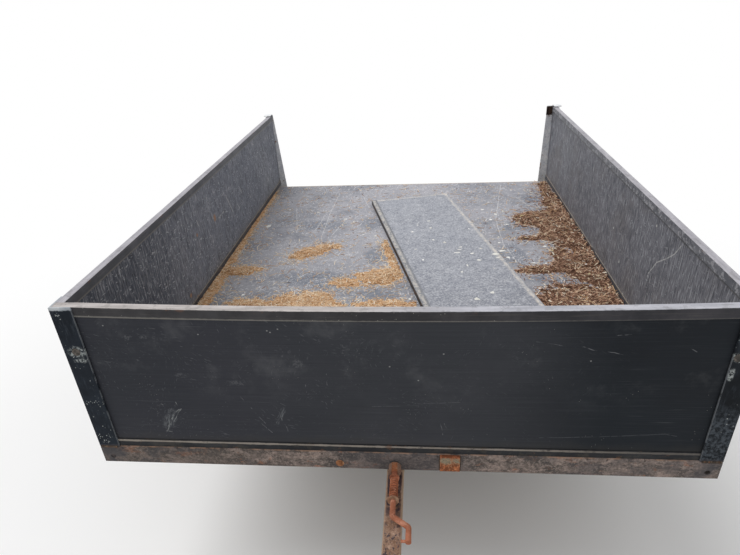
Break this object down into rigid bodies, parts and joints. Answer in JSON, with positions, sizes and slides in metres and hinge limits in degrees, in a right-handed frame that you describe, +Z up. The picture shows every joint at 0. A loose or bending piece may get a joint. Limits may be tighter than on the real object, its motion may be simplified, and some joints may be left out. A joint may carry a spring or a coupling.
{
  "type": "tilt-bed hay wagon",
  "caption": "Small towed hay wagon with an open-backed box that tilts, a spring latch and hitch clevis on the tongue, a parking stand and a loose tailgate on its floor.",
  "frame": {"origin": "on the ground, below the middle of the wagon's overall length and width", "axes": "+X to the wagon's right side as seen from the tongue, +Y to the rear, away from the hitch, +Z up"},
  "size_m": [1.91, 3.567, 1.185],
  "materials": {
    "wall_board": "worn black film on plywood",
    "floor_board": "scuffed blue-grey film on plywood",
    "gate_board": "scuffed grey film on plywood",
    "black_steel": "worn black paint",
    "worn_steel": "paint worn to bare grey steel",
    "rusty_steel": "old paint with brown rust",
    "latch_rust": "orange rust",
    "tyre": "worn black rubber",
    "rim_paint": "dull off-white paint with rust",
    "hub_iron": "dark iron"
  },
  "bodies": {
    "undercarriage": {"tongue": "rusty_steel", "brace_left": "rusty_steel", "brace_right": "rusty_steel", "frame_rail_left": "rusty_steel", "frame_rail_right": "rusty_steel", "pivot_cross_tube": "rusty_steel", "axle": "black_steel", "leaf_spring_left": "black_steel", "leaf_spring_right": "black_steel", "spring_hanger_front_left": "black_steel", "spring_hanger_front_right": "black_steel", "spring_hanger_rear_left": "black_steel", "spring_hanger_rear_right": "black_steel", "hitch_clevis": "rusty_steel", "latch_collar": "latch_rust", "latch_ring": "latch_rust", "stand_bracket": "rusty_steel", "pivot_pin_left": "latch_rust", "pivot_pin_right": "latch_rust", "pivot_cheeks_left": "rusty_steel", "pivot_cheeks_right": "rusty_steel", "spring_clamp_left": "black_steel", "spring_clamp_right": "black_steel", "latch_spring": "latch_rust"},
    "bed": {"floor": "floor_board", "front_panel": "wall_board", "side_panel_left": "wall_board", "side_panel_right": "wall_board", "front_cap": "black_steel", "side_cap_left": "black_steel", "side_cap_right": "black_steel", "front_foot_channel": "black_steel", "side_foot_channel_left": "black_steel", "side_foot_channel_right": "black_steel", "front_post_left": "black_steel", "front_post_right": "black_steel", "rear_post_left": "worn_steel", "rear_post_right": "worn_steel", "front_rail": "rusty_steel", "rear_rail": "rusty_steel", "side_rail_left": "rusty_steel", "side_rail_right": "rusty_steel", "patch_plate": "rusty_steel", "gate_keeper": "latch_rust", "cross_member_front": "rusty_steel", "cross_member_middle": "rusty_steel", "tilt_member": "rusty_steel", "tilt_lug_left": "rusty_steel", "tilt_lug_right": "rusty_steel"},
    "wheel_left": {"tyre_left": "tyre", "wheel_rim_left": "rim_paint", "hub_left": "hub_iron"},
    "wheel_right": {"tyre_right": "tyre", "wheel_rim_right": "rim_paint", "hub_right": "hub_iron"},
    "stand": {"stand_leg": "rusty_steel"},
    "latch": {"latch_bolt": "latch_rust"},
    "tailgate": {"tailgate_panel": "gate_board", "tailgate_channel": "worn_steel"}
  },
  "joints": [
    {"name": "wheel_spin_left", "type": "hinge", "parent": "undercarriage", "child": "wheel_left", "pos_m": [-0.75, 0.6165, 0.3], "axis": [1, 0, 0], "continuous": true},
    {"name": "wheel_spin_right", "type": "hinge", "parent": "undercarriage", "child": "wheel_right", "pos_m": [0.75, 0.6165, 0.3], "axis": [1, 0, 0], "continuous": true},
    {"name": "bed_tilt", "type": "hinge", "parent": "undercarriage", "child": "bed", "pos_m": [0, 1.0465, 0.5661], "axis": [-1, 0, 0], "range_deg": [0, 25]},
    {"name": "latch_slide", "type": "slide", "parent": "undercarriage", "child": "latch", "axis": [0, -1, 0], "range_m": [0, 0.04], "stiffness_N_per_m": 800, "springref_m": -0.02, "deforming": ["latch_spring"]},
    {"name": "stand_fold", "type": "hinge", "parent": "undercarriage", "child": "stand", "pos_m": [0, -1.4935, 0.5086], "axis": [1, 0, 0], "range_deg": [0, 90]},
    {"name": "tailgate_lift", "type": "slide", "parent": "bed", "child": "tailgate", "axis": [0, 0, 1], "range_m": [0, 0.6]}
  ]
}
